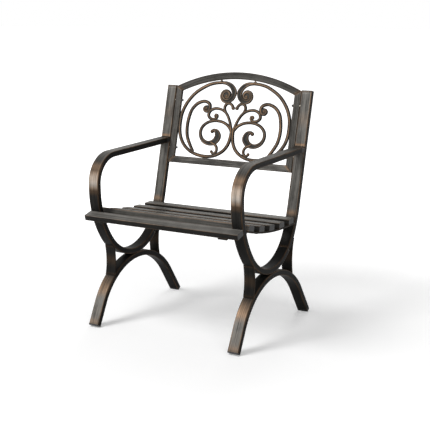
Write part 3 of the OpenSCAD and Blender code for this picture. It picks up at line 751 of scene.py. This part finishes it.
class Slats(ChairOperator):
    """Six hollow slats across the seat"""

    bl_idname = "object.chair_slats"
    bl_label = "Slats"

    def make(self, s, view, x):
        ring, edge, _ = section(s.slat_w, s.slat_h, s.slat_corner)
        size = np.array([s.slat_w, s.slat_h])
        front, top = np.clip((ring * [-1, 1] - (size / 2 - s.slat_corner)) / s.slat_corner, 0, 1).T
        # Grey on top, faint on the front and nearly black elsewhere: partly brushing, partly painted light on
        # top and painted shade on the front and below
        tone = 0.05 + 0.78 * top + 0.05 * front * (1 - top)
        half, ease, inset, count = s.chair_w / 2, 0.2 * s.slat_corner, 0.02, 6
        across = np.r_[-half, -half + ease, np.linspace(-half + inset, half - inset, 29), half - ease, half]
        at_end = (np.abs(across) > half - ease / 2)[:, None, None]
        outer = ring * (1 - at_end * 2 * ease / s.slat_h)
        bore = ring * (1 - 2 * s.slat_wall / size)
        end_edge = np.maximum(edge * (0.45 + 0.5 * front), at_end[..., 0])
        chord = s.slat_w / 2 - s.slat_corner
        sits_at = np.sqrt((s.seat_r - s.rail_t) ** 2 - chord**2) - s.weld_gap - s.slat_h / 2
        reach = s.upright_r + s.weld_gap + s.slat_w / 2
        front_turn = np.arcsin((view.upright[1] - s.seat_z - s.front_slat_rise) / reach)
        slats = [("front_slat", view.upright - reach * toward(front_turn), front_turn)]
        for k in range(2, count + 1):
            turn = (s.last_slat - (count - k) * s.slat_pitch) / s.seat_r
            slats.append((f"slat_{k}", view.seat - sits_at * toward(QUARTER + turn), turn))
        for k, (name, middle, turn) in enumerate(slats):
            # The section's x runs to the back and its n upwards, both turned with the slat
            axes = np.array([[0, *toward(turn)], [0, *toward(QUARTER + turn)]])
            place = np.column_stack([across, np.tile(middle, (len(across), 1))])[:, None]
            skin = Skin()
            # The second slat's front is painted lighter like its top, as a painted reflection of the light
            tone_and_reflection = np.maximum(tone, 0.55 * front) if name == "slat_2" else tone
            rings, inside = place + outer @ axes, place + bore @ axes
            skin.sweep(rings, end_edge, 0.10 * front, 0.0, tone_and_reflection, inside, seed=20 + k)
            skin.piece(name + "_skin", "brushed_slat", [name])


class Back:
    """The back's own plane: x across, depth to the back, height up along the posts."""

    def __init__(self, s, view):
        self.s = s
        self.origin = np.array([0, *view.post_top])
        self.deep = np.array([0, *view.post_back])
        self.up = np.array([0, *view.post_up])
        self.half = s.chair_w / 2 - s.tube_w - s.side_gap
        self.middle = s.back_in + s.bar_d / 2

    def at(self, x, depth, height):
        """Points of the plane in the chair's frame."""
        x, depth, height = (v[..., None] for v in np.broadcast_arrays(x, depth, height))
        return self.origin + x * np.array([1.0, 0, 0]) + depth * self.deep + height * self.up


class BackFrame(ChairOperator):
    """Arched top rail, stiles and bottom rail, mitred at their corners"""

    bl_idname = "object.chair_back_frame"
    bl_label = "Back frame"

    def make(self, s, view, x):
        back = Back(s, view)
        ring, edge, narrow = section(s.bar_w, s.bar_d, s.bar_corner, 4)
        # 0 on the frame's inner edge and 1 on its outer edge; each line of a bar ends on the mitres
        share = ring[:, 0] / s.bar_w + 0.5
        over = back.half - s.bar_w * (1 - share)
        r = s.crown_r - s.bar_w * (1 - share)
        rise = s.crown_rise - s.crown_r
        inner, inner_r = back.half - s.bar_w, s.crown_r - s.bar_w
        inner_turn, outer_turn = np.arcsin([inner / inner_r, back.half / s.crown_r])
        turn = inner_turn + share * (outer_turn - inner_turn)
        low, high = s.bar_w * (1 - share) - s.back_len, rise + r * np.cos(turn)
        sweep = np.linspace(-1, 1, 81)[:, None]
        climb = low + np.linspace(0, 1, 41)[:, None] * (high - low)
        bars = [
            ("top_rail", r * np.sin(sweep * turn), rise + r * np.cos(sweep * turn), 0.42),
            ("bottom_rail", over * sweep, low, 0.8),
            ("left_stile", -over, climb, 0.65),
            ("right_stile", over, climb, 0.65),
        ]
        front = np.where(ring[:, 1] > 0, 1, 0.2)
        for k, (name, across, height, tone) in enumerate(bars):
            rings = back.at(across, back.middle - ring[:, 1], height)
            run = np.linspace(0, 1, len(rings))
            rub = bells(run, ((0, 0.03, 0.6), (1, 0.03, 0.6), (0.3, 0.08, 0.25), (0.8, 0.1, 0.2)))
            skin = Skin()
            skin.sweep(rings, edge, rub[:, None] * front, narrow, tone * front, seed=30 + k)
            skin.piece(name + "_skin", "bronzed_bar", [name])


# Strands of the scroll's right half: [x, height, width] in millimetres from the top of the posts
STRANDS = (
    ((66, 16.5, 9), (95, 13.8, 9.5), (128, 3.8, 10), (173, -23.5, 10), (204.2, -59, 10), (222, -96.5, 10),
     (226.9, -132.5, 10), (224.9, -169, 10), (214.1, -200.5, 10), (191, -229.5, 10), (156, -249.5, 10),
     (109, -259, 10.5), (66, -254.5, 10), (32, -236.5, 10), (12, -210.5, 10), (4.7, -179, 9.5),
     (4.7, -152, 8)),
    ((72, 16.5, 8), (46, 14.5, 11.5), (25, 4, 14.5), (12, -15, 16.5), (14, -34, 15), (25, -46.5, 14),
     (40, -51, 13.5), (54, -46, 13), (61, -33, 12.5), (56, -18.5, 11.5), (42, -14, 11), (31, -21, 10),
     (31, -33, 9), (38, -39, 8), (45, -37, 7)),
    ((157, -241.5, 7), (172, -221.5, 9.5), (188, -192, 10), (194, -161, 10), (193, -127.5, 10),
     (184, -91.5, 10), (164, -67, 10), (138, -56, 10), (118, -58.5, 10), (107, -69, 10), (107, -82, 9.5),
     (114, -91.5, 9), (125, -91, 8.5), (130, -82, 8), (125, -74.5, 7)),
    ((4, -164, 8), (10, -152, 9), (25, -137.5, 9), (49, -127.5, 9), (80, -125.5, 9), (110, -134.5, 9),
     (130, -154, 9.5), (133, -179, 10), (119, -200.5, 12), (95, -209.5, 14), (70, -202.5, 19),
     (58, -184, 21), (64, -166, 15), (78, -160, 9), (85, -165, 7)),
    ((82, -205.5, 8), (62, -216.5, 8), (56, -231.5, 8), (62, -244, 7.5), (73, -245, 7), (78, -239, 6)),
    ((3, -164, 7), (7, -149, 8), (16, -123.5, 8), (32, -97.5, 8), (55, -83, 8), (82, -80, 9),
     (102, -89.5, 9), (108, -105.5, 9), (98, -117.5, 9), (82, -119.5, 8), (71, -113, 7.5), (71, -104, 7),
     (78, -102, 6)),
    ((30, -100.5, 6.5), (41, -84, 7.5), (43, -71, 8.5), (36, -61, 8.5), (24, -59, 8.5), (14, -65, 8.5),
     (9, -73, 8.5)),
)
# The rounded strands stand this many times as wide as the widths above
FULLER = 1.25
# Round ends, backing discs of the volutes and nubs at the frame: [x, height, radius, share of thickness]
BUDS = (
    (43, -31, 19, 0.6), (41, -34, 8.5, 1.0), (119, -82, 13, 0.6), (121, -82, 7, 1.0), (84, -165, 7.5, 1.0),
    (77, -240, 6.2, 1.0), (77.5, -107, 6.8, 1.0), (8.0, -75, 7.4, 1.0), (70, 20.2, 6.0, 0.9),
    (109, -260.2, 5.4, 0.9),
)


def rounded_strand(points, steps=9):
    """Catmull-Rom curve through [x, height, width], with ends that round off like half circles.

    Between b and c: (2b + (c - a) t + (2a - 5b + 4c - d) t^2 + (3b - a - 3c + d) t^3) / 2. Past an end of
    width w the curve runs on by w/2 * sqrt(1 - e^2), where its width is e * w.
    """
    p = np.array(points, float) / 1000
    p = np.vstack([p[0], p, p[-1]])
    a, b, c, d = (p[k : len(p) - 3 + k, None] for k in range(4))
    t = np.linspace(0, 1, steps, endpoint=False)[None, :, None]
    line = 0.5 * (2 * b + (c - a) * t + (2 * a - 5 * b + 4 * c - d) * t**2 + (3 * b - a - 3 * c + d) * t**3)
    line = np.vstack([line.reshape(-1, 3), p[-1:]])
    step = np.gradient(line[:, :2], axis=0)
    heading = np.arctan2(step[:, 1], step[:, 0])
    ease = np.array([0.12, 0.45, 0.72, 0.90])
    caps = []
    for end, way in ((0, -1), (-1, 1)):
        past = way * np.sqrt(1 - ease**2) * line[end, 2] / 2
        place = line[end, :2] + past[:, None] * toward(heading[end])
        caps.append(np.column_stack([place, ease * line[end, 2]]))
    return np.vstack([caps[0], line, caps[1][::-1]]), np.pad(heading, len(ease), "edge")


def domed(points=28, power=4.5):
    """Closed section with rounded shoulders, |x|^p + |n|^p = 1, as x and n from -1 to 1."""
    a = np.linspace(0, 2 * np.pi, points, endpoint=False)
    return (np.sign(v) * np.abs(v) ** (2 / power) for v in (np.cos(a), np.sin(a)))


class ScrollPanel(ChairOperator):
    """Cast scroll with rounded strands, curled volutes and small round ends"""

    bl_idname = "object.chair_scroll_panel"
    bl_label = "Scroll panel"

    def make(self, s, view, x):
        back = Back(s, view)
        skin = Skin()
        for sign in (-1, 1):
            for k, points in enumerate(STRANDS):
                self.strand(skin, back, points, sign, k)
            for k, bud in enumerate(BUDS):
                self.bud(skin, back, bud, sign, k)
        skin.piece("scroll_panel_relief", "rubbed_scroll", ["scroll_panel"])

    def strand(self, skin, back, points, sign, k):
        """Domed strand; where it is wide its front is dished, and its two rims carry the copper.

        Line points lie at place + across * width / 2 * (sin h, -cos h), with the heading h. The dish goes
        down by depth * wide * exp(-(across / 0.5)^2), and narrow ends thin out as sqrt(1.8 * width / widest).
        The copper crest is exp(-((|across| - rim) / spread)^2), with the rim at 0 where the strand is narrow.
        """
        starts, grows, depth = 0.0115, 0.006, 0.45
        line, heading = rounded_strand(points)
        x, height, width = line.T[..., None]
        width = FULLER * width
        across, lift = domed()
        wide = np.clip((width - starts) / grows, 0, 1)
        front = np.clip(lift, 0, 1)
        dish = 1 - depth * wide * front * np.exp(-((across / 0.5) ** 2))
        half_t = back.s.scroll_t / 2 * np.sqrt(np.clip(1.8 * width / width.max(), 0, 1)) * dish
        off = across * width / 2
        px = sign * (x + off * np.sin(heading)[:, None])
        rings = back.at(px, back.middle - lift * half_t, height - off * np.cos(heading)[:, None])
        rim, spread = 0.78 * wide, 0.56 - 0.34 * wide
        crest = front**2 * np.exp(-(((np.abs(across) - rim) / spread) ** 2))
        # The sides are black, partly the unbrushed coat and partly painted shade, and the back nearly so
        side = 1 - np.clip(3 * front - 2.0, 0, 1) - 0.35 * (lift < -0.8)
        tone = 0.12 + 0.10 * wide + 0.45 * crest
        skin.sweep(rings, crest, 0.55 * crest, side, tone, seed=k + 10 * sign)

    def bud(self, skin, back, bud, sign, k):
        """Lens |d / r|^p + |n / t|^p = 1 about the panel's normal, as rings from its back to its front.

        One with more than the share backing of the panel's thickness is a knob and carries copper.
        """
        x, height, r = np.array(bud[:3]) / 1000
        share, power, backing = bud[3], 2.3, 0.6
        lift = np.linspace(-1, 1, 13)[:, None]
        spread = np.clip(1 - np.abs(lift) ** power, 0.0005, 1) ** (1 / power)
        turn = np.linspace(0, 2 * np.pi, 32, endpoint=False)
        depth = back.middle - share * back.s.scroll_t / 2 * lift
        rings = back.at(sign * x + r * spread * np.cos(turn), depth, height + r * spread * np.sin(turn))
        edge = 0.85 * np.clip(lift, 0, 1) ** 0.5 * (share > backing)
        side = np.clip(1.3 - 1.5 * lift, 0, 1)
        skin.sweep(rings, edge, 0.35 * edge, side, 0.35, seed=40 + k, around=0.0)


class WeldBeads(ChairOperator):
    """Weld beads along the joints of the side frames"""

    bl_idname = "object.chair_weld_beads"
    bl_label = "Weld beads"

    def make(self, s, view, x):
        arm_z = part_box("right_arm_tube")[1].z
        face = view.post_front - s.weld_gap * view.post_back
        heights = arm_z - s.bead_r / 4, arm_z - s.tube_t - s.bead_r / 4
        spots = [face + (z - face[1]) / view.post_up[1] * view.post_up for z in heights]
        for centre, r, t, middle, cuts, reach in (*(bar for _, bar in view.straps()), view.rail()):
            for q in (r - t / 2, r + t / 2):
                for way, cut in zip((-1, 1), cuts):
                    spots.append(centre + q * toward(crossing(centre, q, middle, way, *cut, reach)))
        rise = np.arctan2(*(view.bowl - view.arch)[::-1])
        touch = s.tube_t / s.arch_r
        spots += [view.arch + s.arch_r * toward(rise + way * touch) for way in (-1, 1)]
        for side, sign in SIDES:
            skin = Skin()
            for k, spot in enumerate(spots):
                self.bead(skin, spot, s.bead_r, sign * x, s.tube_w - 2 * s.tube_corner, k)
            skin.piece(f"{side}_weld_beads", "bronzed_bar")

    def bead(self, skin, spot, radius, x, width, k):
        """Round bead across the tube, with ripples of r * (0.85 + 0.15 |sin|) and rounded ends."""
        stations, around = 61, 12
        u = np.linspace(-1, 1, stations)[:, None]
        swell = 0.85 + 0.15 * np.abs(np.sin(np.pi * (u * 7 + 0.37 * k)))
        r = radius * swell * np.clip((1 - np.abs(u)) * 12, 0.15, 1) ** 0.5
        turn = np.linspace(0, 2 * np.pi, around, endpoint=False)
        across = np.broadcast_to(x + u * width / 2, (stations, around))
        rings = np.stack([across, spot[0] + r * np.cos(turn), spot[1] + r * np.sin(turn)], -1)
        skin.sweep(rings, 0.45, 0.3, 0.0, 0.15, seed=50 + k)


class SmallParts(bpy.types.Operator):
    """Finishes of caps, plugs, feet, brackets, screws and bolts"""

    bl_idname = "object.chair_small_parts"
    bl_label = "Small parts"

    def execute(self, context):
        plastic = [f"{side}_{part}" for side, _ in SIDES for part in ("post_cap", "front_foot", "rear_foot")]
        finishes = {
            "black_plastic": plastic + ["slat_plugs"],
            "black_steel": ["slat_screws", "panel_screws", "back_bolts", "back_washers"],
            "zinc_plate": ["back_inserts"],
            "bronzed_plate": [f"{side}_slat_bracket" for side, _ in SIDES],
        }
        for finish, names in finishes.items():
            for name in names:
                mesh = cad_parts[name].data
                mesh.materials.clear()
                mesh.materials.append(finish_named(finish))
        return {"FINISHED"}


class Stage(bpy.types.Operator):
    """Pale floor, soft lights and the camera"""

    bl_idname = "object.chair_stage"
    bl_label = "Stage"

    def execute(self, context):
        scene = context.scene
        scene.view_settings.view_transform = "Standard"
        self.floor(scene)
        self.world(scene)
        # The lamps: name, place, width in metres and power in watts
        for name, place, size, energy in (
            ("key", (-2.2, -2.6, 4.2), 2.4, 160),
            ("fill", (3.2, -2.4, 2.4), 2.0, 25),
            ("rim", (-0.8, 3.0, 3.2), 2.0, 30),
        ):
            self.lamp(scene, name, np.array(place), size, energy)
        self.camera(scene)
        return {"FINISHED"}

    def seen(self, tree):
        """1 for camera, mirrored and transmitted rays, else 0."""
        path = add(tree, "ShaderNodeLightPath").outputs
        both = calc(tree, "MAXIMUM", path["Is Camera Ray"], path["Is Glossy Ray"])
        return calc(tree, "MAXIMUM", both, path["Is Transmission Ray"])

    def floor(self, scene):
        reach = 30.0
        corners = [(-reach, -reach, 0), (reach, -reach, 0), (reach, reach, 0), (-reach, reach, 0)]
        mesh = bpy.data.meshes.new("floor")
        mesh.from_pydata(corners, [], [(0, 1, 2, 3)])
        floor = bpy.data.objects.new("floor", mesh)
        scene.collection.objects.link(floor)
        m, tree, shader = new_material("pale_floor")
        # The lamps' pool of light ends in an even white farther out
        place = add(tree, "ShaderNodeTexCoord").outputs["Object"]
        away = add(tree, "ShaderNodeVectorMath", {0: place}, operation="LENGTH").outputs["Value"]
        glow = calc(tree, "MULTIPLY", self.seen(tree), ramp(tree, away, 0.5, 2.5, 0.25, 1.0))
        surface = {
            "Base Color": with_alpha(scene.chair_finish.floor),
            "Roughness": 0.9,
            "Specular IOR Level": 0.1,
            "Emission Strength": glow,
            "Emission Color": (1, 1, 1, 1),
        }
        feed(tree, shader, surface)
        mesh.materials.append(m)

    def world(self, scene):
        scene.world = bpy.data.worlds.new("studio")
        scene.world.use_nodes = True
        tree = scene.world.node_tree
        tree.nodes.clear()
        strength = ramp(tree, self.seen(tree), 0.0, 1.0, 0.35, 1.0)
        back = add(tree, "ShaderNodeBackground", {"Color": (1, 1, 1, 1), "Strength": strength})
        add(tree, "ShaderNodeOutputWorld", {"Surface": back.outputs[0]})

    def lamp(self, scene, name, place, size, energy):
        light = bpy.data.lights.new(name, "AREA")
        light.shape = "DISK"
        light.size = size
        light.energy = energy
        lamp = bpy.data.objects.new(name, light)
        target = np.array([0, 0, 0.4])
        aim = target - place
        tilt = np.arctan2(np.hypot(aim[0], aim[1]), -aim[2])
        lamp.location = place
        lamp.rotation_euler = (tilt, 0, -np.arctan2(aim[0], aim[1]))
        scene.collection.objects.link(lamp)

    def camera(self, scene):
        """Camera of the photo, by its place, its yaw, pitch and roll, and its lens for a 430 pixel frame."""
        place = (1.7197, -2.7827, 1.1132)
        yaw, pitch, roll = np.radians((30.91, 12.70, -0.61))
        focal_px, frame_px = 955.7, 430
        ahead = np.array([-np.sin(yaw) * np.cos(pitch), np.cos(yaw) * np.cos(pitch), -np.sin(pitch)])
        right = np.array([np.cos(yaw), np.sin(yaw), 0])
        up = np.cross(right, ahead)
        right, up = right * np.cos(roll) + up * np.sin(roll), up * np.cos(roll) - right * np.sin(roll)
        data = bpy.data.cameras.new("camera")
        data.lens = focal_px / frame_px * data.sensor_width
        camera = bpy.data.objects.new("camera", data)
        matrix = np.eye(4)
        matrix[:3] = np.column_stack([right, up, -ahead, place])
        camera.matrix_world = Matrix(matrix.tolist())
        scene.collection.objects.link(camera)
        scene.camera = camera


class ChairPanel(bpy.types.Panel):
    """Lists the armchair's pieces, sizes and colours"""

    bl_idname = "VIEW3D_PT_chair"
    bl_label = "Garden armchair"
    bl_space_type = "VIEW_3D"
    bl_region_type = "UI"
    bl_category = "Armchair"

    def draw(self, context):
        for maker in MAKERS:
            self.layout.operator(maker.bl_idname)
        scene = context.scene
        for group, rows in ((scene.chair_sizes, LENGTHS + ANGLES), (scene.chair_finish, COLOURS)):
            column = self.layout.column(align=True)
            for name, *_ in rows:
                column.prop(group, name)


MAKERS = (
    Stage, ArmTubes, BackPosts, LegArches, Straps, SeatRails, Slats, BackFrame, ScrollPanel, WeldBeads,
    SmallParts,
)
CLASSES = (ChairSizes, ChairFinish, *MAKERS, ChairPanel)


def register():
    for c in CLASSES:
        bpy.utils.register_class(c)
    bpy.types.Scene.chair_sizes = PointerProperty(type=ChairSizes)
    bpy.types.Scene.chair_finish = PointerProperty(type=ChairFinish)


def unregister():
    del bpy.types.Scene.chair_finish
    del bpy.types.Scene.chair_sizes
    for c in reversed(CLASSES):
        bpy.utils.unregister_class(c)


def main():
    register()
    for maker in MAKERS:
        getattr(bpy.ops.object, maker.bl_idname.split(".")[1])()


if __name__ == "__main__":
    main()
